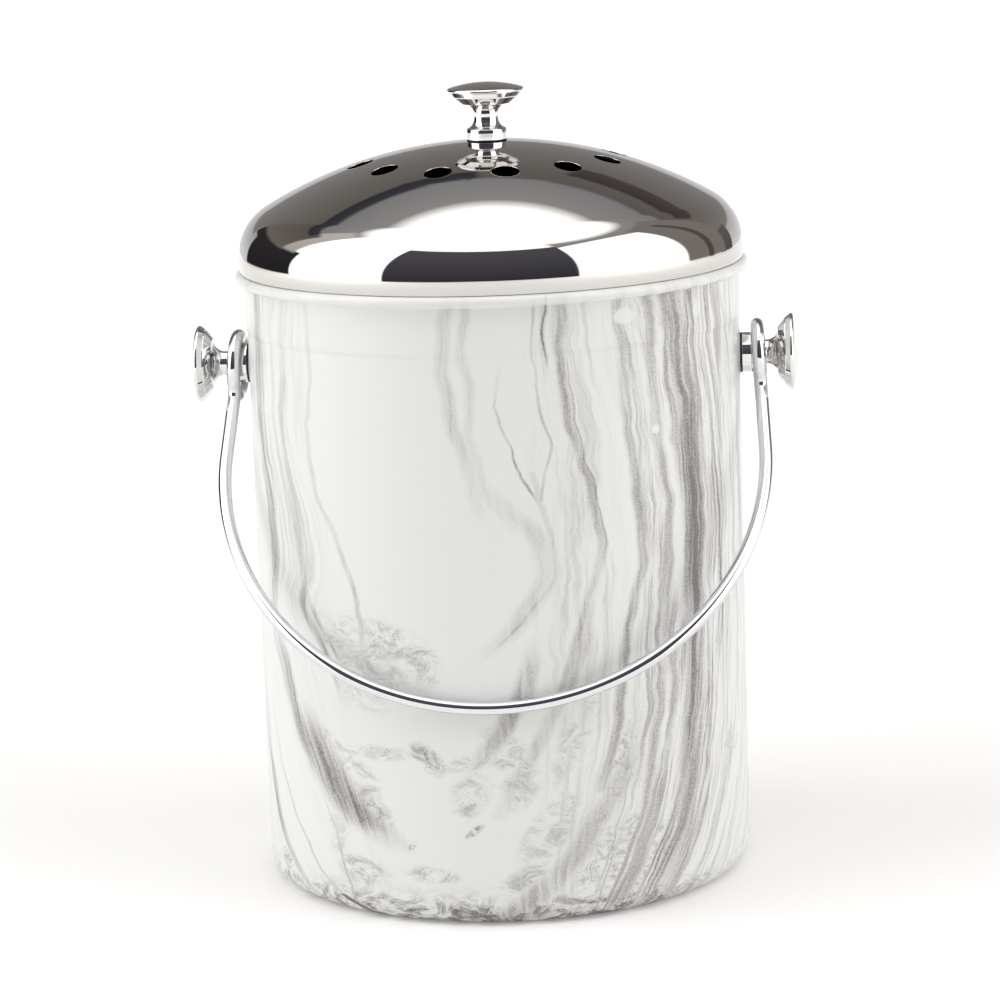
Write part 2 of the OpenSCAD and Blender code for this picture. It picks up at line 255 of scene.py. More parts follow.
def dome(material):
    """The dome's sheet: two smooth surfaces, joined by the walls of the vent holes and by the edge."""
    columns = even_turn(12 * VENTS, VENT_PHASE - 180 / VENTS)
    outer, inner = DOME_R, DOME_R - LID_WALL
    edge_angle = math.degrees(math.acos(SHOULDER_X / (DOME_R - SHOULDER_R)))
    near, far = VENT_RING_R - VENT_REACH, VENT_RING_R + VENT_REACH
    shoulder = (SHOULDER_X, SHOULDER_Z)

    def over(radius, r):
        return (r, DOME_Z + math.sqrt(radius * radius - r * r))

    def skirt(radius, shoulder_r):
        """Down one face of the sheet, from outside the vents to the foot of the tucked-in edge."""
        foot = -math.degrees(math.asin(LID_TUCK / shoulder_r))
        flat = arc((0, DOME_Z), radius, math.degrees(math.acos(far / radius)), edge_angle, 9)
        return flat + arc(shoulder, shoulder_r, edge_angle, foot, 32)[1:]

    bm = bmesh.new()
    crown = [near, 30, 24, 18, 13, 9, 6, BORE_R]
    skin(bm, ring_rows([over(outer, r) for r in crown] + [over(inner, r) for r in reversed(crown)], columns))
    outside, inside = skirt(outer, SHOULDER_R), skirt(inner, SHOULDER_R - LID_WALL)
    edge = eased([outside[-2], (*outside[-1], 0.25), (*inside[-1], 0.2), inside[-2]])[1:-1]
    lip = outside[:-1] + edge + inside[:-1][::-1]
    skin(bm, ring_rows(lip, columns))
    for i in range(VENTS):
        azimuth = VENT_PHASE + 360 / VENTS * i - 90
        top, out = vent_patch(bm, outer, azimuth, VENT_R + VENT_EASE)
        bottom, _ = vent_patch(bm, inner, azimuth, VENT_R)
        middle = sum(top, Vector()) / len(top)
        wall = [top]
        for k in range(1, 4):
            turn = math.radians(30 * k)
            size = (VENT_R + VENT_EASE * (1 - math.sin(turn))) / (VENT_R + VENT_EASE)
            drop = out * VENT_EASE * MM * (1 - math.cos(turn))
            wall.append([middle + (p - middle) * size - drop for p in top])
        skin(bm, wall + [bottom])
    return piece("dome", bm, material, "lid", "lid_dome")


def knob_outline():
    """Boss, waist, flared and stepped head and low crown of a turned knob, as (radius, height)."""
    foot = eased([(0, 0), (BOSS_R, 0, 0.15), (BOSS_R, 2)], 3)[:-1]
    boss = [(BOSS_R, 1.2), (BOSS_R, 2.4)] + arc((6.2, 3.2), 0.9, 0, 90, 6)
    waist = arc((8.474, 7.6), 4.174, 237, 180, 14)[1:] + arc((8.4, 8.5), 4.1, 180, 92, 16)
    head = eased([(8.5, 12.6), (8.9, 12.6, 0.12), (11.95, 14.99, 0.08), (11.95, 15.29, 0.06),
                  (12.3, 15.29, 0.08), (13.437, 16.771)], 3)[1:-1]
    crown = arc((12.7, 17.288), 0.9, -35, 72.9, 14) + arc((0, KNOB_L - 44.02), 44.02, 73.2, 90, 14)
    return foot + boss + waist + head + crown


def knob(name, base, direction, material, body, node):
    """A knob whose base stands at a point and whose head points along a direction."""
    bm = bmesh.new()
    skin(bm, ring_rows(knob_outline(), even_turn(96)))
    stand = Vector((0, 0, 1)).rotation_difference(Vector(direction)).to_matrix().to_4x4()
    bm.transform(Matrix.Translation(Vector(base) * MM) @ stand)
    return piece(name, bm, material, body, node)


def bail_route():
    """The middle line of the bail's wire from one cut end to the other, in millimetres."""
    bow_drop = BAIL_DROP - BOW_R
    reach = math.hypot(EYE_X, bow_drop)
    tilt = math.atan2(bow_drop, EYE_X) - math.acos(BOW_R / reach)
    leg = math.sqrt(reach ** 2 - BOW_R ** 2)
    hang = EYE_R * math.cos(tilt) - WIRE_R - BOSS_R - EYE_GAP
    turn = math.degrees(math.asin(EYE_BEND_R / (EYE_R + EYE_BEND_R)))
    leg_top = hang + (EYE_R + EYE_BEND_R) * math.cos(math.radians(turn))
    eye = arc((0, -hang), EYE_R, 270 - EYE_END_TURN, turn - 90, 84)
    bend = arc((EYE_BEND_R, -leg_top), EYE_BEND_R, 90 + turn, 180, 14)[1:]
    straight = [(0, -leg_top - (leg - leg_top) * i / 6) for i in range(1, 6)]
    side = [(EYE_X - y * math.sin(tilt), y * math.cos(tilt), x) for x, y in eye + bend + straight]
    start = math.degrees(tilt)
    bow = [(x, y, 0) for x, y in arc((0, -bow_drop), BOW_R, start, -180 - start, 150)]
    flat = side + bow + [(-x, y, z) for x, y, z in reversed(side)]
    lean = math.pi / 2 - math.asin((PAIL_R + WIRE_R + REST_GAP) / BAIL_DROP)
    place = Matrix.Translation((BAIL_SLIDE, 0, PIVOT_Z)) @ Matrix.Rotation(lean, 4, "X")
    return [place @ Vector(p) for p in flat]


def bail(material):
    """Round wire swept along its route, with slightly eased cut ends."""
    route = bail_route()
    around, cut = 28, 0.3
    first, last = (route[1] - route[0]).normalized(), (route[-1] - route[-2]).normalized()
    stations = [(route[0], WIRE_R - cut), (route[0] + first * cut, WIRE_R)]
    stations += [(p, WIRE_R) for p in route[1:-1]]
    stations += [(route[-1] - last * cut, WIRE_R), (route[-1], WIRE_R - cut)]
    side = first.orthogonal().normalized()
    rows = []
    for i, (point, radius) in enumerate(stations):
        ahead = stations[min(i + 1, len(stations) - 1)][0] - stations[max(i - 1, 0)][0]
        side = (side - ahead * side.dot(ahead) / ahead.length_squared).normalized()
        other = ahead.normalized().cross(side)
        ring = [side * math.cos(a) + other * math.sin(a) for a in even_turn(around)]
        rows.append([(point + spoke * radius) * MM for spoke in ring])
    bm = bmesh.new()
    skin(bm, rows)
    for rim in (rows[0], rows[-1]):
        bm.faces.new([bm.verts.new(p) for p in rim])
    return piece("bail_wire", bm, material, "bail", "bail")


# ---- Finishes ----

def colour(code):
    """A linear colour from an sRGB hex value such as "AABBCC"."""
    parts = [int(code[i:i + 2], 16) / 255 for i in (0, 2, 4)]
    return tuple(p / 12.92 if p <= 0.04045 else ((p + 0.055) / 1.055) ** 2.4 for p in parts) + (1,)


def add(tree, kind, inputs=None, **settings):
    """Adds a shader node, named without its prefix. Each input gets a value or another node's socket."""
    made = tree.nodes.new("ShaderNode" + kind)
    for name, value in settings.items():
        setattr(made, name, value)
    for name, value in (inputs or {}).items():
        if isinstance(value, bpy.types.NodeSocket):
            tree.links.new(value, made.inputs[name])
        else:
            made.inputs[name].default_value = value
    return made


def shape_curve(made, points):
    """Lays the points of a curve node, in order of their first value."""
    curve = made.mapping.curves[0]
    points = sorted(points)
    while len(curve.points) < len(points):
        curve.points.new(0.5, 0.5)
    for spot, place in zip(curve.points, points):
        spot.location = place
    made.mapping.update()


def shape_ramp(made, stops):
    """Sets the stops of a colour ramp, as (place, linear colour) in rising order."""
    ramp = made.color_ramp
    while len(ramp.elements) < len(stops):
        ramp.elements.new(0.5)
    for i, (place, tint) in enumerate(stops):
        ramp.elements[i].position = place
    for i, (place, tint) in enumerate(stops):
        ramp.elements[i].color = tint


def finish(name, **values):
    """A material with one Principled surface, whose uniform values sit on its own sockets."""
    material = bpy.data.materials.new(name)
    material.use_nodes = True
    surface = material.node_tree.nodes["Principled BSDF"]
    for key, value in values.items():
        surface.inputs[key.replace("_", " ")].default_value = value
    return material, material.node_tree, surface


# ---- The marbled film ----

# The film is laid out by height in mm and by degrees from the front towards +X. Each vein is its half width
# in degrees, then (height, degrees, how dark) from the top down. One band is a painted reflection.
FILM_TOP = 218.0
VEINS_AND_PAINTED_REFLECTION = [
    (3.6, [(218, -64.5, 0.5), (200, -65, 0.55), (180, -66, 0.6), (160, -65.5, 0.65), (148, -63.5, 0.7),
          (138, -61.5, 0.75), (126, -60, 0.78), (116, -60.4, 0.7), (108, -62, 0.5), (98, -62.5, 0.3),
          (88, -59, 0.3)]),
    (1.0, [(218, -62, 0.4), (195, -62.6, 0.4), (175, -63, 0.45), (160, -62.5, 0.5), (148, -60, 0.5),
          (136, -58.6, 0.4)]),
    (1.6, [(218, -56, 0.2), (190, -57, 0.2), (165, -57, 0.2), (145, -53, 0.3), (125, -50, 0.2),
          (105, -50, 0.1)]),
    (1.6, [(218, -50, 0.2), (205, -51, 0.28), (190, -52, 0.32), (175, -52.7, 0.35), (162, -52.5, 0.35),
          (150, -49.5, 0.38), (138, -47, 0.38), (125, -45, 0.35), (114, -46, 0.3), (104, -42, 0.4),
          (94, -37, 0.42), (84, -31, 0.25)]),
    (2.6, [(165, -54, 0.1), (150, -51, 0.4), (135, -48.5, 0.45), (120, -46.5, 0.4), (110, -47, 0.5),
          (100, -43.5, 0.6), (90, -39, 0.5), (78, -35, 0.2)]),
    (1.3, [(218, -41, 0.18), (200, -41.3, 0.18), (180, -42.5, 0.2), (165, -42.6, 0.2), (150, -41, 0.24),
          (140, -38, 0.28), (130, -34.5, 0.3), (120, -31.4, 0.32), (110, -30, 0.4), (100, -29, 0.3)]),
    (4.4, [(98, -62, 0.1), (88, -58.5, 0.5), (76, -55, 0.75), (66, -51.5, 0.8), (58, -48.5, 0.7),
          (50, -46, 0.4)]),
    (9.5, [(72, -50, 0.15), (62, -46.5, 0.6), (54, -42.5, 0.85), (47, -38.5, 0.95), (41, -35, 0.95),
          (36, -31.5, 0.8), (31, -27, 0.3)]),
    (3.2, [(70, -74, 0.15), (55, -73, 0.4), (44, -70.5, 0.65), (34, -68, 0.7), (24, -64, 0.6),
          (16, -59, 0.5), (8, -52, 0.4)]),
    # Painted reflection: this grey band down the right edge, at 79 to 82 degrees, stands for a dark wall
    # mirrored in the enamel, not for ink.
    (3.8, [(205, 79, 0.1), (190, 80, 0.3), (165, 81.5, 0.5), (135, 82, 0.5), (112, 82, 0.35)]),
    (1.0, [(62, -66, 0.15), (46, -61, 0.25), (34, -56, 0.35), (24, -51, 0.35), (14, -45, 0.35),
          (6, -36, 0.5)]),
    (0.7, [(50, -48, 0.1), (40, -43, 0.2), (30, -39, 0.4), (20, -37, 0.5), (12, -35, 0.4)]),
    (2.6, [(218, -5, 0.2), (208, -6.3, 0.25), (196, -6.6, 0.22), (186, -6, 0.3), (176, -5.6, 0.3),
          (166, -3.5, 0.22), (156, -1.5, 0.15), (148, 0, 0.1)]),
    (0.5, [(218, -5.4, 0.3), (204, -6.6, 0.35), (190, -6.4, 0.3), (178, -6.4, 0.4), (170, -4.6, 0.3),
          (162, -2, 0.1)]),
    (1.8, [(218, -1.4, 0.3), (208, -1.5, 0.25), (198, -2.5, 0.2), (190, -0.8, 0.25), (180, -1, 0.25),
          (170, -1.6, 0.2), (160, 0, 0.15), (150, 2.5, 0.15), (142, 6, 0.1)]),
    (0.5, [(218, -1, 0.4), (208, -1.2, 0.4), (196, -2.3, 0.2), (188, -0.6, 0.35), (178, -1, 0.3),
          (168, -0.4, 0.1)]),
    (0.6, [(190, 5, 0.1), (175, 5.5, 0.3), (168, 7, 0.55), (160, 9, 0.6), (153, 11.5, 0.55),
          (149, 13.2, 0.4)]),
    (0.6, [(218, 13.6, 0.3), (200, 13, 0.4), (188, 13.6, 0.4), (178, 14.2, 0.45), (170, 16, 0.6),
          (164, 16.6, 0.5), (156, 15, 0.45), (150, 14.7, 0.6), (147, 14.6, 0.2)]),
    (0.6, [(218, 16.4, 0.6), (206, 15.4, 0.7), (199, 16, 0.7), (192, 16.5, 0.1)]),
    (1.9, [(218, 20, 0.45), (200, 19.8, 0.55), (186, 19.6, 0.55), (176, 20.4, 0.55), (164, 23, 0.5),
          (150, 25.6, 0.5), (138, 27.2, 0.6), (128, 28, 0.55), (118, 25.6, 0.4), (104, 22, 0.45),
          (90, 19, 0.5), (78, 16, 0.35)]),
    (0.6, [(200, 21, 0.1), (176, 22, 0.6), (160, 24.5, 0.6), (146, 27.2, 0.7), (134, 28.6, 0.7),
          (126, 28.4, 0.2)]),
    (4.4, [(152, 2, 0.1), (144, 8, 0.16), (136, 13, 0.24), (128, 15, 0.26), (118, 14, 0.26),
          (110, 10.5, 0.24), (104, 7, 0.2), (99, 3, 0.1)]),
    (1.2, [(152, 13.5, 0.25), (140, 15.3, 0.35), (128, 16.3, 0.4), (118, 15, 0.4), (110, 11.2, 0.4),
          (104, 7.5, 0.4), (99, 3.6, 0.2)]),
    (3.6, [(98, 12, 0.1), (88, 9.5, 0.4), (78, 7.5, 0.5), (70, 4, 0.55), (62, 0, 0.4), (56, -3, 0.15)]),
    (3.0, [(120, 26, 0.15), (100, 22.5, 0.35), (84, 19, 0.4), (70, 14, 0.35), (58, 9, 0.3), (44, 4, 0.2)]),
    (2.4, [(218, 33, 0.35), (200, 34, 0.45), (180, 34.6, 0.45), (162, 36, 0.5), (145, 38, 0.55),
          (125, 38.4, 0.55), (110, 35.5, 0.6), (95, 33.2, 0.6), (80, 31.5, 0.55), (64, 29.5, 0.55),
          (50, 27, 0.45)]),
    (2.8, [(218, 41, 0.5), (200, 42, 0.5), (180, 43, 0.45), (160, 44.5, 0.5), (140, 46, 0.55),
          (112, 45, 0.55), (92, 43.5, 0.55), (66, 41, 0.6), (46, 38.5, 0.5), (26, 34, 0.4)]),
    (6.5, [(218, 48, 0.6), (208, 48.4, 0.75), (200, 49.8, 0.75), (190, 50.6, 0.75), (174, 52.4, 0.9),
          (160, 53.4, 1.1), (146, 54.4, 1.2), (130, 55.2, 1.2), (112, 54.4, 1.1), (92, 54, 0.85),
          (72, 53.2, 0.85), (56, 52.4, 0.8), (36, 50.4, 0.65), (18, 47, 0.55), (6, 42, 0.4)]),
    (0.9, [(160, 55.5, 0.5), (140, 57.5, 0.8), (120, 57.4, 0.9), (104, 56.6, 0.8), (86, 56, 0.4)]),
    (1.6, [(218, 54, 0.55), (190, 56, 0.6), (172, 58, 0.6), (152, 59.6, 0.55), (132, 60.6, 0.5),
          (112, 60.6, 0.5), (80, 59, 0.4)]),
    (1.0, [(218, 58.5, 0.5), (190, 60.8, 0.55), (170, 62.8, 0.6), (152, 64.4, 0.75), (132, 65.6, 0.8),
          (114, 66.4, 0.85), (98, 66.6, 0.75), (70, 66.2, 0.5), (40, 64, 0.3)]),
    (1.2, [(218, 67, 0.2), (204, 69.5, 0.4), (192, 73, 0.4), (176, 75, 0.3), (150, 76, 0.3),
          (120, 75.5, 0.35), (90, 76.5, 0.4), (60, 76, 0.35)]),
    (6.5, [(66, 38, 0.1), (56, 34, 0.3), (44, 29.5, 0.36), (34, 24.5, 0.38), (24, 19.5, 0.4),
          (14, 13, 0.45), (5, 5, 0.6)]),
    (4.5, [(62, 46, 0.2), (46, 42, 0.36), (32, 38.5, 0.44), (20, 35.5, 0.55), (10, 31, 0.65)]),
    (1.5, [(218, -152, 0.5), (180, -150, 0.6), (140, -146, 0.7), (110, -149, 0.6), (70, -142, 0.6),
          (30, -130, 0.5)]),
    (3.0, [(218, -112, 0.5), (170, -110, 0.4), (140, -105, 0.6), (100, -108, 0.6), (60, -100, 0.5),
          (30, -88, 0.6)]),
    (1.2, [(218, -98, 0.4), (180, -100, 0.5), (150, -96, 0.4), (110, -97, 0.5), (80, -92, 0.3)]),
    (2.8, [(218, 118, 0.6), (180, 121, 0.5), (150, 126, 0.8), (120, 127, 0.9), (90, 124, 0.7),
          (50, 122, 0.6), (14, 112, 0.5)]),
    (1.0, [(218, 134, 0.4), (180, 137, 0.5), (140, 142, 0.6), (100, 140, 0.6), (60, 134, 0.4),
          (30, 126, 0.4)]),
    (1.8, [(218, 160, 0.4), (190, 161, 0.5), (150, 166, 0.5), (110, 163, 0.3), (80, 158, 0.4),
          (40, 150, 0.4)]),
]
# Each blot is (degrees, height, half length, half width in mm, tilt in degrees, how dark).
BLOTS = [
    (-40, 58, 16, 8, -35, 0.42), (-33, 50, 15, 9, -35, 0.42), (-27, 38, 10, 6, -30, 0.55),
    (-32, 102, 12, 8, 10, 0.4), (-23, 100, 16, 8, -14, 0.44), (-29, 92, 14, 8, 20, 0.34),
    (-15, 93, 9, 13, 30, 0.4), (-23, 87, 16, 6, -6, 0.36), (-38, 98, 8, 13, 30, 0.3),
    (-30, 80, 14, 6, -20, 0.28), (-27, 60, 18, 3.4, 2, 0.42), (-14, 59, 9, 5, -40, 0.6),
    (-4, 58, 12, 3.5, 12, 0.45), (5, 60, 8, 15, 40, 0.42), (-4, 47, 12, 8, 60, 0.38),
    (7, 50, 8, 12, -20, 0.32), (-3.4, 34, 5, 1.6, 32, 0.8), (-18, 28, 3, 1.2, 38, 0.7),
    (-14, 18, 13, 4, -4, 0.5), (-31, 17, 15, 7, -10, 0.42), (-38, 28, 7, 11, 0, 0.25),
    (8, 17, 12, 5, 30, 0.4), (-60, 11, 10, 5, -24, 0.5), (14, 34, 20, 9, 55, 0.34),
    (30, 50, 30, 9, 70, 0.42), (28, 22, 28, 11, 50, 0.45), (38, 16, 22, 9, 60, 0.5),
    (20, 66, 24, 7, 66, 0.28), (70, 50, 8, 9, 0, 0.32), (-100, 40, 16, 18, 20, 0.5),
    (140, 80, 12, 22, 12, 0.4), (100, 30, 18, 12, -30, 0.5), (-140, 70, 14, 26, -10, 0.35),
    (175, 40, 20, 16, 0, 0.4),
]
# Spots that the film left bare, in the same terms. The one at 76 degrees and 189 mm, near the right knob's
# seat, is a painted highlight.
BARE_SPOTS_AND_HIGHLIGHT = [(35.5, 208, 6.5, 4.6, 0, 0.42), (57.5, 207, 3.6, 6, 0, 0.36), (43.4, 168, 2, 1.8, 0, 1),
              (76, 189, 4, 7, 0, 0.6)]
# How far the film was dragged round the pail as it was dipped, as (height, degrees), and where each drag
# holds, as (degrees from the front, share).
DRAG_LEFT = [(0, 42), (12, 34), (25, 27), (40, 21), (60, 14), (80, 9), (100, 4), (110, 3), (120, 6),
             (140, 4), (160, -1), (180, -2), (218, 0)]
DRAG_RIGHT = [(0, -16), (12, -10), (25, -5), (45, 0), (70, 3), (90, 4), (110, 5), (130, 6), (150, 5),
              (170, 4), (190, 2), (218, 0)]
HOLDS_LEFT = [(-180, 0), (-140, 1), (-40, 1), (-5, 0), (180, 0)]
HOLDS_RIGHT = [(-180, 0), (5, 0), (35, 1), (140, 1), (180, 0)]
# How thickly the fine streaks lie round the pail, and how much of them is left by height, left of the front.
STREAKS_ROUND = [(-180, 0.5), (-165, 0.3), (-150, 0.6), (-140, 0.4), (-125, 0.1), (-110, 0.6), (-95, 0.6),
                 (-85, 0.3), (-75, 0.1), (-68, 0.25), (-60, 0.28), (-52, 0.3), (-46, 0.2), (-41, 0.06),
                 (-36, 0), (-12, 0), (-6, 0), (0, 0), (6, 0), (12, 0.06), (18, 0.3), (24, 0.3), (28, 0.1),
                 (33, 0.45), (38, 0.62), (44, 0.7), (50, 0.85), (56, 0.85), (62, 0.65), (68, 0.5),
                 (76, 0.35), (90, 0.3), (102, 0.2), (116, 0.6), (130, 0.7), (145, 0.3), (160, 0.5),
                 (180, 0.5)]
STREAKS_LEFT = [(0, 0.3), (60, 0.3), (100, 0.5), (125, 1), (218, 1)]
# The rim of ink that gathered at the base, by height and round the pail.
BASE_RIM = [(0, 0.95), (4, 0.95), (8, 0.55), (13, 0.12), (17, 0), (218, 0)]
BASE_RIM_ROUND = [(-180, 0.7), (-130, 0.4), (-90, 0.6), (-60, 0.7), (-30, 0.9), (0, 1), (36, 1), (50, 0.6),
                  (75, 0.35), (110, 0.6), (150, 0.5), (180, 0.7)]
# Where the film starts or thins out, in millimetres: under the base, through the wall's sheet, round the
# base's corner and on the rolled rim.
UNDER_BASE_R = (78, 80)
THROUGH_WALL_R = (86.5, 86.8)
BASE_CORNER_Z = (9, 8)
ROLLED_RIM_Z = (213.5, 215)


def round_share(points):
    """Points that start with degrees from the front, with those as a share of the turn (the front is 0.5)."""
    return [(degrees / 360 + 0.5, value) for degrees, value in points]


def height_share(points):
    """Points that start with a height, with that as a share of the film's height."""
    return [(height / FILM_TOP, value) for height, value in points]


def darkest(tree, sockets):
    """The greatest of several values."""
    most = sockets[0]
    for socket in sockets[1:]:
        most = add(tree, "Math", {0: most, 1: socket}, operation="MAXIMUM").outputs[0]
    return most


def blot_strength(tree, flat, blot):
    """How dark one soft oval is at each point of the flattened wall."""
    degrees, height, length, width, tilt, dark = blot
    centre = (math.radians(degrees) * PAIL_R, height, 0)
    spin = math.radians(tilt)
    along, across = Vector((math.cos(spin), math.sin(spin), 0)), Vector((-math.sin(spin), math.cos(spin), 0))
    local = add(tree, "VectorMath", {0: flat, 1: centre}, operation="SUBTRACT").outputs[0]
    u = add(tree, "VectorMath", {0: local, 1: along / length}, operation="DOT_PRODUCT").outputs["Value"]
    v = add(tree, "VectorMath", {0: local, 1: across / width}, operation="DOT_PRODUCT").outputs["Value"]
    square = add(tree, "Math", {0: u, 1: u}, operation="MULTIPLY").outputs[0]
    square = add(tree, "Math", {0: v, 1: v, 2: square}, operation="MULTIPLY_ADD").outputs[0]
    return add(tree, "MapRange", {"Value": square, "From Min": 1, "From Max": 0.1, "To Max": dark},
               interpolation_type="SMOOTHSTEP").outputs[0]


def wandered(tree, place, turn):
    """The turn with the wander that every vein shares: slow over 22 mm, and quick over 9 mm of height."""
    slow = add(tree, "TexNoise", {"Vector": place, "Scale": 1 / (22 * MM), "Detail": 2.0}).outputs[0]
    tall = add(tree, "Mapping", {"Vector": place, "Scale": (1, 1, 2)}).outputs[0]
    quick = add(tree, "TexNoise", {"Vector": tall, "Scale": 1 / (18 * MM), "Detail": 2.0}).outputs[0]
    drift = add(tree, "Math", {0: slow, 1: 0.010, 2: turn}, operation="MULTIPLY_ADD").outputs[0]
    drift = add(tree, "Math", {0: quick, 1: 0.005, 2: drift}, operation="MULTIPLY_ADD").outputs[0]
    return add(tree, "Math", {0: drift, 1: 0.0075}, operation="SUBTRACT").outputs[0]


def undragged(tree, drift, turn, height):
    """Where each point of the film lay round the pail before it was dragged."""
    flow = drift
    for drag, holds in ((DRAG_LEFT, HOLDS_LEFT), (DRAG_RIGHT, HOLDS_RIGHT)):
        far = add(tree, "FloatCurve", {"Value": height})
        shape_curve(far, height_share([(z, 0.5 + degrees / 180) for z, degrees in drag]))
        amount = add(tree, "Math", {0: far.outputs[0], 1: 0.5, 2: -0.25}, operation="MULTIPLY_ADD")
        where = add(tree, "FloatCurve", {"Value": turn})
        shape_curve(where, round_share(holds))
        step = add(tree, "Math", {0: amount.outputs[0], 1: where.outputs[0]}, operation="MULTIPLY")
        flow = add(tree, "Math", {0: flow, 1: step.outputs[0]}, operation="SUBTRACT").outputs[0]
    return flow


def filaments(tree, flow, height):
    """Streaks about 0.3 to 2 mm wide and some 20 times as long, that follow the drag."""
    whole = add(tree, "Math", {0: flow, 1: 2 * math.pi}, operation="MULTIPLY").outputs[0]
    sine = add(tree, "Math", {0: whole}, operation="SINE").outputs[0]
    cosine = add(tree, "Math", {0: whole}, operation="COSINE").outputs[0]
    drawn = add(tree, "Math", {0: height, 1: 0.13}, operation="MULTIPLY").outputs[0]
    stream = add(tree, "CombineXYZ", {0: sine, 1: cosine, 2: drawn}).outputs[0]
    return add(tree, "TexNoise", {"Vector": stream, "Scale": PAIL_R / 2.6, "Detail": 4.0,
                                  "Roughness": 0.68}).outputs[0]


def veins_and_painted_reflection(tree, drift, height, streaks):
    """The veins, and a grey band of painted reflection down the right edge, grained by the filaments."""
    fade = 0.03
    grey_bands = []
    for width, points in VEINS_AND_PAINTED_REFLECTION:
        middle = add(tree, "FloatCurve", {"Value": height})
        shape_curve(middle, [(z / FILM_TOP, degrees / 360 + 0.5) for z, degrees, dark in points])
        strength = add(tree, "FloatCurve", {"Value": height})
        ends = [(max(points[-1][0] / FILM_TOP - fade, 0), 0), (min(points[0][0] / FILM_TOP + fade, 1), 0)]
        ends = [end for end in ends if 0 < end[0] < 1]
        shape_curve(strength, [(z / FILM_TOP, dark) for z, degrees, dark in points] + ends)
        away = add(tree, "Math", {0: drift, 1: middle.outputs[0]}, operation="SUBTRACT").outputs[0]
        away = add(tree, "Math", {0: away}, operation="ABSOLUTE").outputs[0]
        grey_band = add(tree, "MapRange", {"Value": away, "From Min": width / 360,
                                      "From Max": 0.15 * width / 360, "To Max": strength.outputs[0]},
                   interpolation_type="SMOOTHSTEP")
        grey_bands.append(grey_band.outputs[0])
    grain = add(tree, "MapRange", {"Value": streaks, "From Min": 0.34, "From Max": 0.66, "To Min": 0.45,
                                   "To Max": 1.15}, interpolation_type="SMOOTHSTEP").outputs[0]
    return add(tree, "Math", {0: darkest(tree, grey_bands), 1: grain}, operation="MULTIPLY").outputs[0]


def streak_ink(tree, flow, turn, height, streaks):
    """The fine streaks between the veins, worn away low down on the left."""
    thick = add(tree, "FloatCurve", {"Value": flow})
    shape_curve(thick, round_share(STREAKS_ROUND))
    hairs = add(tree, "MapRange", {"Value": streaks, "From Min": 0.42, "From Max": 0.68, "To Min": 0.1,
                                   "To Max": 0.9}, interpolation_type="SMOOTHSTEP").outputs[0]
    kept = add(tree, "FloatCurve", {"Value": height})
    shape_curve(kept, height_share(STREAKS_LEFT))
    left = add(tree, "MapRange", {"Value": turn, "From Min": 15 / 360 + 0.5, "From Max": 0.5}).outputs[0]
    lost = add(tree, "Math", {0: kept.outputs[0], 1: 1.0}, operation="SUBTRACT").outputs[0]
    share = add(tree, "Math", {0: lost, 1: left, 2: 1.0}, operation="MULTIPLY_ADD").outputs[0]
    hairs = add(tree, "Math", {0: hairs, 1: share}, operation="MULTIPLY").outputs[0]
    return add(tree, "Math", {0: thick.outputs[0], 1: hairs}, operation="MULTIPLY").outputs[0]


def blot_ink(tree, place, flat, turn, height):
    """Clouds of ink and the rim of ink at the base, with ragged holes of 1 to 6 mm."""
    clouds = darkest(tree, [blot_strength(tree, flat, blot) for blot in BLOTS])
    rim = add(tree, "FloatCurve", {"Value": height})
    shape_curve(rim, height_share(BASE_RIM))
    side = add(tree, "FloatCurve", {"Value": turn})
    shape_curve(side, round_share(BASE_RIM_ROUND))
    gathered = add(tree, "Math", {0: rim.outputs[0], 1: side.outputs[0]}, operation="MULTIPLY")
    clouds = darkest(tree, [clouds, gathered.outputs[0]])
    drawn = add(tree, "Mapping", {"Vector": place, "Scale": (0.6, 0.6, 1)}).outputs[0]
    ragged = add(tree, "TexNoise", {"Vector": drawn, "Scale": 1 / (7 * MM), "Detail": 7.0,
                                    "Roughness": 0.8, "Distortion": 1.4}).outputs[0]
    holes = add(tree, "MapRange", {"Value": ragged, "From Min": 0.4, "From Max": 0.64, "To Max": 1.2},
                interpolation_type="SMOOTHSTEP").outputs[0]
    return add(tree, "Math", {0: clouds, 1: holes}, operation="MULTIPLY").outputs[0]


def unbroken(tree, place, flat):
    """How much ink each point keeps: specks of 0.5 mm break the film up, a few spots stayed bare, and one is
    a painted highlight.
    """
    specks = add(tree, "TexNoise", {"Vector": place, "Scale": 1 / (0.55 * MM), "Detail": 1.0}).outputs[0]
    broken = add(tree, "MapRange", {"Value": specks, "From Min": 0.3, "From Max": 0.7, "To Min": 0.72,
                                    "To Max": 1.25}).outputs[0]
    # The bare spots, and one painted highlight near the right knob's seat, take the film away.
    bare_and_highlight = darkest(tree, [blot_strength(tree, flat, spot) for spot in BARE_SPOTS_AND_HIGHLIGHT])
    kept = add(tree, "MapRange", {"Value": bare_and_highlight, "From Min": 0.25, "From Max": 0.45, "To Min": 1.0,
                                  "To Max": 0.1}, interpolation_type="SMOOTHSTEP").outputs[0]
    return add(tree, "Math", {0: broken, 1: kept}, operation="MULTIPLY").outputs[0]


def faded(tree, value, reach, start=0.0, end=1.0):
    """Runs from start to end while a value goes over its reach, in millimetres."""
    low, high = reach
    return add(tree, "MapRange", {"Value": value, "From Min": low * MM, "From Max": high * MM,
                                  "To Min": start, "To Max": end}).outputs[0]


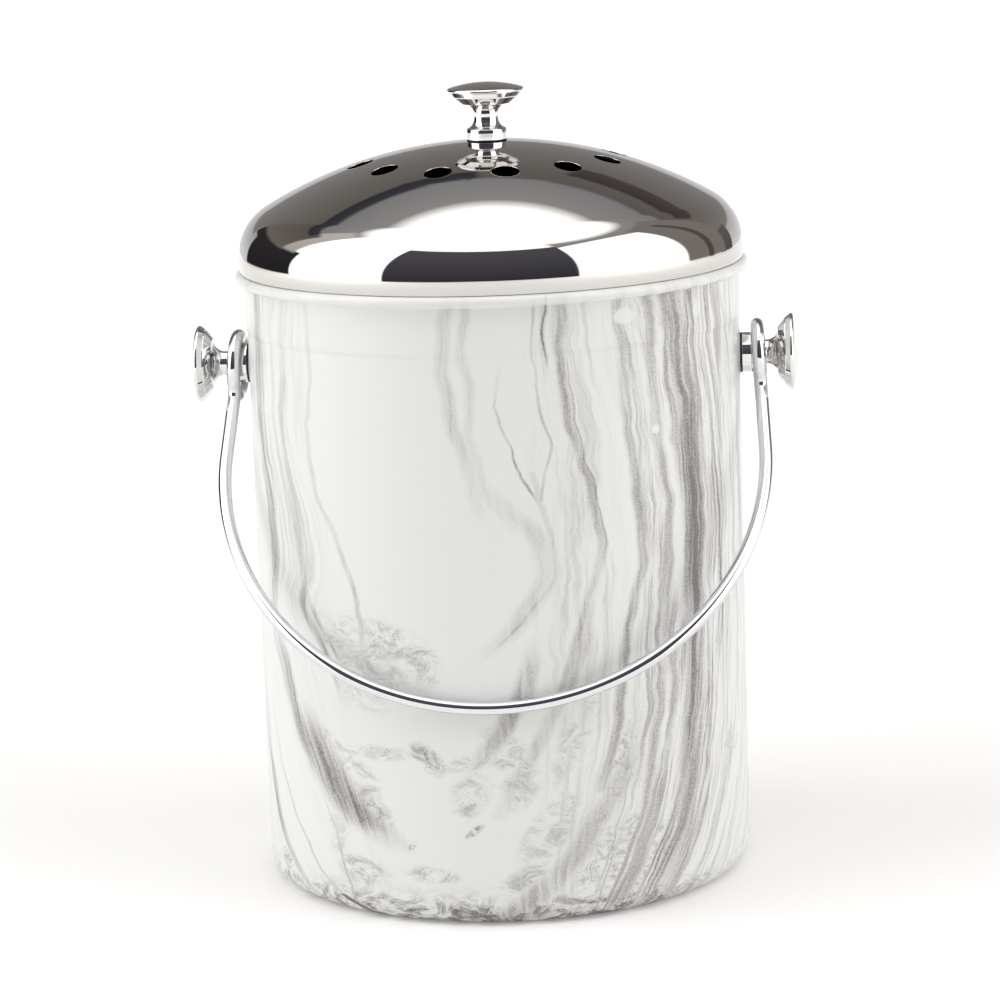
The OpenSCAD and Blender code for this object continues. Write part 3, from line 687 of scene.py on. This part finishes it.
def film_cover(tree, x, y, z):
    """Where the film lies: outside on the wall and the base's corner, and thinly on the rolled rim."""
    ground = add(tree, "CombineXYZ", {0: x, 1: y, 2: 0.0}).outputs[0]
    radius = add(tree, "VectorMath", {0: ground}, operation="LENGTH").outputs["Value"]
    corner = faded(tree, radius, UNDER_BASE_R)
    wall = faded(tree, radius, THROUGH_WALL_R)
    low = faded(tree, z, BASE_CORNER_Z)
    cover = add(tree, "Math", {0: low, 1: wall}, operation="MAXIMUM").outputs[0]
    cover = add(tree, "Math", {0: cover, 1: corner}, operation="MULTIPLY").outputs[0]
    rim = faded(tree, z, ROLLED_RIM_Z, 1.0, 0.22)
    return add(tree, "Math", {0: cover, 1: rim}, operation="MULTIPLY").outputs[0]


def marble_finish():
    """Glossy white enamel on steel under a dipped marble film: grey ink drawn out in fine streaks down the
    wall, curling in towards the base, with blots where the film gathered. A grey band of painted reflection
    runs down the right edge, and a painted highlight sits near the right knob's seat. The enamel gives
    soft lights."""
    material, tree, surface = finish("marbled_enamel", Roughness=0.27, IOR=1.5)
    place = add(tree, "TexCoord").outputs["Object"]
    x, y, z = add(tree, "SeparateXYZ", {0: place}).outputs
    forward = add(tree, "Math", {0: y, 1: -1.0}, operation="MULTIPLY").outputs[0]
    angle = add(tree, "Math", {0: x, 1: forward}, operation="ARCTAN2").outputs[0]
    turn = add(tree, "Math", {0: angle, 1: 0.5 / math.pi, 2: 0.5}, operation="MULTIPLY_ADD").outputs[0]
    height = add(tree, "Math", {0: z, 1: 1 / (FILM_TOP * MM)}, operation="MULTIPLY").outputs[0]
    drift = wandered(tree, place, turn)
    flow = undragged(tree, drift, turn, height)
    streaks = filaments(tree, flow, height)

    # The wall rolled out flat, in millimetres from the front and from the base.
    around = add(tree, "Math", {0: drift, 1: 0.5}, operation="SUBTRACT").outputs[0]
    around = add(tree, "Math", {0: around, 1: 2 * math.pi * PAIL_R}, operation="MULTIPLY").outputs[0]
    rise = add(tree, "Math", {0: z, 1: 1 / MM}, operation="MULTIPLY").outputs[0]
    flat = add(tree, "CombineXYZ", {0: around, 1: rise, 2: 0.0}).outputs[0]

    ink_and_painted_light = darkest(tree, [veins_and_painted_reflection(tree, drift, height, streaks),
                         streak_ink(tree, flow, turn, height, streaks),
                         blot_ink(tree, place, flat, turn, height)])
    kept = unbroken(tree, place, flat)
    ink_and_painted_light = add(tree, "Math", {0: ink_and_painted_light, 1: kept}, operation="MULTIPLY").outputs[0]
    cover = film_cover(tree, x, y, z)
    ink_and_painted_light = add(tree, "Math", {0: ink_and_painted_light, 1: cover}, operation="MULTIPLY", use_clamp=True).outputs[0]
    tint = add(tree, "ValToRGB", {0: ink_and_painted_light})
    shape_ramp(tint, [(0, colour("F4F5F2")), (0.22, colour("E0E0DD")), (0.5, colour("BDBAB8")),
                      (0.78, colour("979392")), (1, colour("7B7675"))])
    tree.links.new(tint.outputs[0], surface.inputs["Base Color"])

    # Orange peel of 1.6 mm, a few microns deep, as sprayed enamel has.
    peel = add(tree, "TexNoise", {"Vector": place, "Scale": 1 / (1.6 * MM), "Detail": 1.0}).outputs[0]
    bump = add(tree, "Bump", {"Height": peel, "Strength": 0.25, "Distance": 0.02 * MM})
    tree.links.new(bump.outputs[0], surface.inputs["Normal"])
    return material


# ---- The other finishes ----

def polished_steel():
    """Stainless steel buffed to a mirror: a slightly warm reflection, with pressed sheet's slow ripple."""
    material, tree, surface = finish("polished_stainless", Metallic=1.0, Roughness=0.03)
    surface.inputs["Base Color"].default_value = colour("D0CDC9")
    place = add(tree, "TexCoord").outputs["Object"]
    haze = add(tree, "TexNoise", {"Vector": place, "Scale": 1 / (14 * MM), "Detail": 4.0, "Roughness": 0.6})
    dull = add(tree, "MapRange", {"Value": haze.outputs[0], "From Min": 0.35, "From Max": 0.75,
                                  "To Min": 0.015, "To Max": 0.045}).outputs[0]
    tree.links.new(dull, surface.inputs["Roughness"])
    ripple = add(tree, "TexNoise", {"Vector": place, "Scale": 1 / (30 * MM), "Detail": 1.0}).outputs[0]
    bump = add(tree, "Bump", {"Height": ripple, "Strength": 0.5, "Distance": 0.08 * MM})
    tree.links.new(bump.outputs[0], surface.inputs["Normal"])
    return material


def bright_chrome(name, tint, draw):
    """Chrome plate: a bright mirror under a thin patchy haze. A smaller draw makes the patches longer."""
    material, tree, surface = finish(name, Metallic=1.0, Roughness=0.05)
    surface.inputs["Base Color"].default_value = colour(tint)
    place = add(tree, "TexCoord").outputs["Object"]
    along = add(tree, "Mapping", {"Vector": place, "Scale": draw}).outputs[0]
    haze = add(tree, "TexNoise", {"Vector": along, "Scale": 1 / (1.2 * MM), "Detail": 3.0}).outputs[0]
    dull = add(tree, "MapRange", {"Value": haze, "From Min": 0.3, "From Max": 0.8, "To Min": 0.03,
                                  "To Max": 0.09}).outputs[0]
    tree.links.new(dull, surface.inputs["Roughness"])
    return material


def rolled_steel():
    """Plain stainless sheet as it leaves the rolls: satin, with hair-fine lines that run round the ring."""
    material, tree, surface = finish("rolled_stainless", Metallic=1.0, Roughness=0.3)
    place = add(tree, "TexCoord").outputs["Object"]
    lines = add(tree, "Mapping", {"Vector": place, "Scale": (0.04, 0.04, 1)}).outputs[0]
    hair = add(tree, "TexNoise", {"Vector": lines, "Scale": 1 / (0.35 * MM), "Detail": 2.0}).outputs[0]
    tint = add(tree, "ValToRGB", {0: hair})
    shape_ramp(tint, [(0.3, colour("B4B3B2")), (0.7, colour("CFCECD"))])
    tree.links.new(tint.outputs[0], surface.inputs["Base Color"])
    dull = add(tree, "MapRange", {"Value": hair, "From Min": 0.3, "From Max": 0.7, "To Min": 0.24,
                                  "To Max": 0.4}).outputs[0]
    tree.links.new(dull, surface.inputs["Roughness"])
    return material


def zinc_plate():
    """Zinc-plated steel of screws and washers: a dull bluish grey with a mottle of about 1 mm."""
    material, tree, surface = finish("zinc_plate", Metallic=1.0, Roughness=0.36)
    place = add(tree, "TexCoord").outputs["Object"]
    mottle = add(tree, "TexNoise", {"Vector": place, "Scale": 1 / (1.1 * MM), "Detail": 3.0}).outputs[0]
    tint = add(tree, "ValToRGB", {0: mottle})
    shape_ramp(tint, [(0.35, colour("A9ADB1")), (0.65, colour("C6C9CB"))])
    tree.links.new(tint.outputs[0], surface.inputs["Base Color"])
    dull = add(tree, "MapRange", {"Value": mottle, "To Min": 0.28, "To Max": 0.46}).outputs[0]
    tree.links.new(dull, surface.inputs["Roughness"])
    return material


def grained(name, dark, light, grain, depth, **values):
    """A moulded or felted surface: two near shades mottled at the size of its grain, and a fine relief."""
    material, tree, surface = finish(name, **values)
    place = add(tree, "TexCoord").outputs["Object"]
    relief = add(tree, "TexNoise", {"Vector": place, "Scale": 1 / grain, "Detail": 3.0, "Roughness": 0.6})
    tint = add(tree, "ValToRGB", {0: relief.outputs[0]})
    shape_ramp(tint, [(0.35, colour(dark)), (0.7, colour(light))])
    tree.links.new(tint.outputs[0], surface.inputs["Base Color"])
    bump = add(tree, "Bump", {"Height": relief.outputs[0], "Strength": 0.6, "Distance": depth})
    tree.links.new(bump.outputs[0], surface.inputs["Normal"])
    return material


def dress(finishes):
    """Gives each node of the frame the finish of its slot in the record."""
    for row in frame["record"]["subparts"]:
        for slot in frame["nodes"][row["node"]].material_slots:
            slot.material = finishes[row["material_slot"]]


# ---- Studio ----

# The set, as seen from the object: each card is (name, azimuth from and to, elevation from and to, tone at
# its foot and head, light, width of its soft edge, whether its top is straight or level). In degrees, with
# azimuth 0 behind the object and 90 to its right. What no card covers is white, and each card hangs just in
# front of the one before.
CARDS = [
    ("softbox_overhead", (-180, 180), (48, 90), ("FFFFFF", "FFFFFF"), 1.75, 1, "level"),
    ("grey_wall_high", (-80, 140), (36, 60), ("7E7F85", "A9A8A8"), 1.0, 4, "level"),
    ("panel_left", (-137, -78), (-5, 57), ("FFFFFE", "FFFFFF"), 2.25, 1.5, "level"),
    ("panel_right", (76, 142), (-5, 53), ("FFFFFE", "FEFDFC"), 2.05, 1.5, "straight"),
    ("dark_room_behind_camera", (136, 225), (-5, 52.5), ("3A3A42", "5C5A62"), 1.0, 1, "level"),
    ("black_flag_left", (-84, -34), (-5, 24), ("29282C", "353337"), 1.0, 1.5, "level"),
    ("tan_wall_left", (-80, -58), (20, 57), ("C9C2BB", "DAD7D4"), 1.0, 3, "level"),
    ("grey_wall_left", (-69, -25), (19, 45), ("7C7773", "625E5C"), 1.0, 2.5, "level"),
    ("pale_table_behind", (-42, 42), (-5, 14), ("F0F0F2", "ADADB0"), 1.0, 1.5, "level"),
    ("grey_wall_behind", (-36, 52), (9, 45), ("8F8B89", "6A6663"), 1.0, 1.5, "level"),
    ("dark_rail_left", (-62, -6), (39, 44.5), ("34353C", "45464F"), 1.0, 1.2, "level"),
    ("dark_shelf_right", (6, 42), (31, 39), ("57504E", "463F40"), 1.0, 1.2, "level"),
    ("dark_edge_right", (35, 50), (-5, 14), ("5F5B5B", "6C6868"), 1.0, 1.2, "level"),
    ("grey_wall_right", (44, 78), (-5, 53), ("8A8481", "8D8885"), 1.0, 2, "level"),
    ("brown_post_right", (56, 62), (-5, 47), ("5A5250", "645C59"), 1.0, 1.5, "level"),
]
CARD_DISTANCE = 3.0
CARD_STEP = 0.02
CARD_CENTRE_Z = 0.22
FLOOR_HALF = 14.0
# The floor is lifted to white by these strengths, near the object and far off, between these distances in m.
FLOOR_LIFT = (0.2, 0.6)
FLOOR_REACH = (0.4, 1.8)


def with_margin(low, high, margin, steps):
    """Even places from low to high, with a narrow step of its own at either end."""
    return [low] + [low + margin + (high - low - 2 * margin) * i / steps for i in range(steps + 1)] + [high]


def card(name, azimuths, elevations, tones, light, soft, top, distance):
    """One curved card. Metal mirrors it and it lights the object, but the camera sees through it."""
    bm = bmesh.new()
    cover = bm.verts.layers.float.new("cover")
    middle = sum(azimuths) / 2
    rows = []
    for elevation in with_margin(*elevations, soft, 8):
        row = []
        for degrees in with_margin(*azimuths, soft, math.ceil((azimuths[1] - azimuths[0]) / 4)):
            turn, rise = math.radians(degrees), math.radians(elevation)
            if top == "straight":
                rise = math.atan(math.tan(rise) * math.cos(math.radians(degrees - middle)))
            way = Vector((math.sin(turn) * math.cos(rise), math.cos(turn) * math.cos(rise), math.sin(rise)))
            row.append(way * distance + Vector((0, 0, CARD_CENTRE_Z)))
        rows.append(row)
    skin(bm, rows, closed=False)
    for i, vert in enumerate(bm.verts):
        row, column = divmod(i, len(rows[0]))
        side = column in (0, len(rows[0]) - 1) and azimuths[1] - azimuths[0] < 360
        top_edge = row == len(rows) - 1 and elevations[1] < 90
        vert[cover] = 0 if row == 0 or top_edge or side else 1
    mesh = bpy.data.meshes.new(name)
    bm.to_mesh(mesh)
    bm.free()
    for face in mesh.polygons:
        face.use_smooth = True
    material = bpy.data.materials.new(name)
    material.use_nodes = True
    tree = material.node_tree
    tree.nodes.clear()
    if light <= 1:
        # The dim cards are found by chance rays alone, which keeps the render quick.
        material.cycles.emission_sampling = "NONE"
    place = add(tree, "TexCoord").outputs["Object"]
    height = add(tree, "SeparateXYZ", {0: place}).outputs[2]
    foot, head = (CARD_CENTRE_Z + distance * math.sin(math.radians(rise)) for rise in elevations)
    share = add(tree, "MapRange", {"Value": height, "From Min": foot, "From Max": head}).outputs[0]
    tint = add(tree, "Mix", {0: share, 6: colour(tones[0]), 7: colour(tones[1])}, data_type="RGBA")
    glow = add(tree, "Emission", {0: tint.outputs[2], 1: light})
    clear = add(tree, "BsdfTransparent")
    seen = add(tree, "LightPath").outputs["Is Camera Ray"]
    within = add(tree, "Attribute", attribute_name="cover").outputs["Fac"]
    shown = add(tree, "Math", {0: within, 1: seen}, operation="SUBTRACT", use_clamp=True).outputs[0]
    choice = add(tree, "MixShader", {0: shown, 1: clear.outputs[0], 2: glow.outputs[0]})
    add(tree, "OutputMaterial", {0: choice.outputs[0]})
    mesh.materials.append(material)
    panel = bpy.data.objects.new(name, mesh)
    bpy.context.scene.collection.objects.link(panel)


def studio():
    """A white room with the set's cards in it."""
    world = bpy.data.worlds.new("white_room")
    bpy.context.scene.world = world
    world.use_nodes = True
    tree = world.node_tree
    tree.nodes.clear()
    white = add(tree, "Background", {0: (1, 1, 1, 1), 1: 1.0})
    add(tree, "OutputWorld", {0: white.outputs[0]})
    for i, values in enumerate(CARDS):
        card(*values, CARD_DISTANCE - CARD_STEP * i)


def floor():
    """A plain pale floor that keeps the object's shadow. The camera and the metal see it lifted to white."""
    mesh = bpy.data.meshes.new("floor")
    bm = bmesh.new()
    corners = ((-1, -1), (1, -1), (1, 1), (-1, 1))
    bm.faces.new([bm.verts.new((x * FLOOR_HALF, y * FLOOR_HALF, 0)) for x, y in corners])
    bm.to_mesh(mesh)
    bm.free()
    plane = bpy.data.objects.new("floor", mesh)
    bpy.context.scene.collection.objects.link(plane)
    material, tree, surface = finish("pale_floor", Roughness=0.8)
    surface.inputs["Base Color"].default_value = colour("ECEBEA")
    surface.inputs["Emission Color"].default_value = (1, 1, 1, 1)
    rays = add(tree, "LightPath").outputs
    direct = add(tree, "Math", {0: rays["Is Camera Ray"], 1: rays["Is Glossy Ray"]}, operation="MAXIMUM")
    direct = add(tree, "Math", {0: direct.outputs[0], 1: rays["Is Transmission Ray"]}, operation="MAXIMUM")
    place = add(tree, "TexCoord").outputs["Object"]
    away = add(tree, "VectorMath", {0: place}, operation="LENGTH").outputs["Value"]
    far = add(tree, "MapRange", {"Value": away, "From Min": FLOOR_REACH[0], "From Max": FLOOR_REACH[1],
                                 "To Min": FLOOR_LIFT[0], "To Max": FLOOR_LIFT[1]}).outputs[0]
    lift = add(tree, "Math", {0: direct.outputs[0], 1: far}, operation="MULTIPLY")
    tree.links.new(lift.outputs[0], surface.inputs["Emission Strength"])
    mesh.materials.append(material)


def photograph_camera():
    """The photograph's view: 1.3 m away, 11 degrees down and 5 degrees to the right of the front."""
    forward = Vector((-0.08158, 0.97790, -0.19249))
    right = Vector((0.99650, 0.07648, -0.03375))
    up = right.cross(forward)
    data = bpy.data.cameras.new("photograph")
    data.sensor_width = 36
    data.lens = 133.8
    camera = bpy.data.objects.new("photograph", data)
    turn = Matrix((right, up, -forward)).transposed().to_4x4()
    camera.matrix_world = Matrix.Translation((0.10886, -1.30184, 0.38820)) @ turn
    bpy.context.scene.collection.objects.link(camera)
    bpy.context.scene.camera = camera


# ---- The scene ----

bpy.context.scene.view_settings.view_transform = "Standard"
photograph_camera()
studio()
floor()

chrome = bright_chrome("turned_chrome", "E6E5E4", (1, 1, 1))
finishes = {
    "marble_coating": marble_finish(),
    "polished_steel": polished_steel(),
    "inner_steel": rolled_steel(),
    "knob_chrome": chrome,
    "wire_chrome": bright_chrome("drawn_chrome", "E2E2E4", (0.3, 0.3, 0.3)),
    "fastener_steel": zinc_plate(),
    "black_rubber": grained("black_rubber", "0E0E0E", "1C1C1C", 0.3 * MM, 0.02 * MM, Roughness=0.62),
    "black_plastic": grained("moulded_abs", "17171A", "222225", 0.5 * MM, 0.03 * MM, Roughness=0.42),
    "charcoal_felt": grained("charcoal_felt", "0B0B0B", "272626", 0.7 * MM, 0.4 * MM, Roughness=0.95),
}
dress(finishes)

pail(finishes["marble_coating"])
dome(finishes["polished_steel"])
knob("knob_on_left", (-KNOB_BASE_SIDE, 0, PIVOT_Z), (-1, 0, 0), chrome, "pail", "knob_left")
knob("knob_on_right", (KNOB_BASE_SIDE, 0, PIVOT_Z), (1, 0, 0), chrome, "pail", "knob_right")
knob("knob_on_lid", (0, 0, KNOB_BASE_LID), (0, 0, 1), chrome, "lid", "lid_knob")
bail(finishes["wire_chrome"])
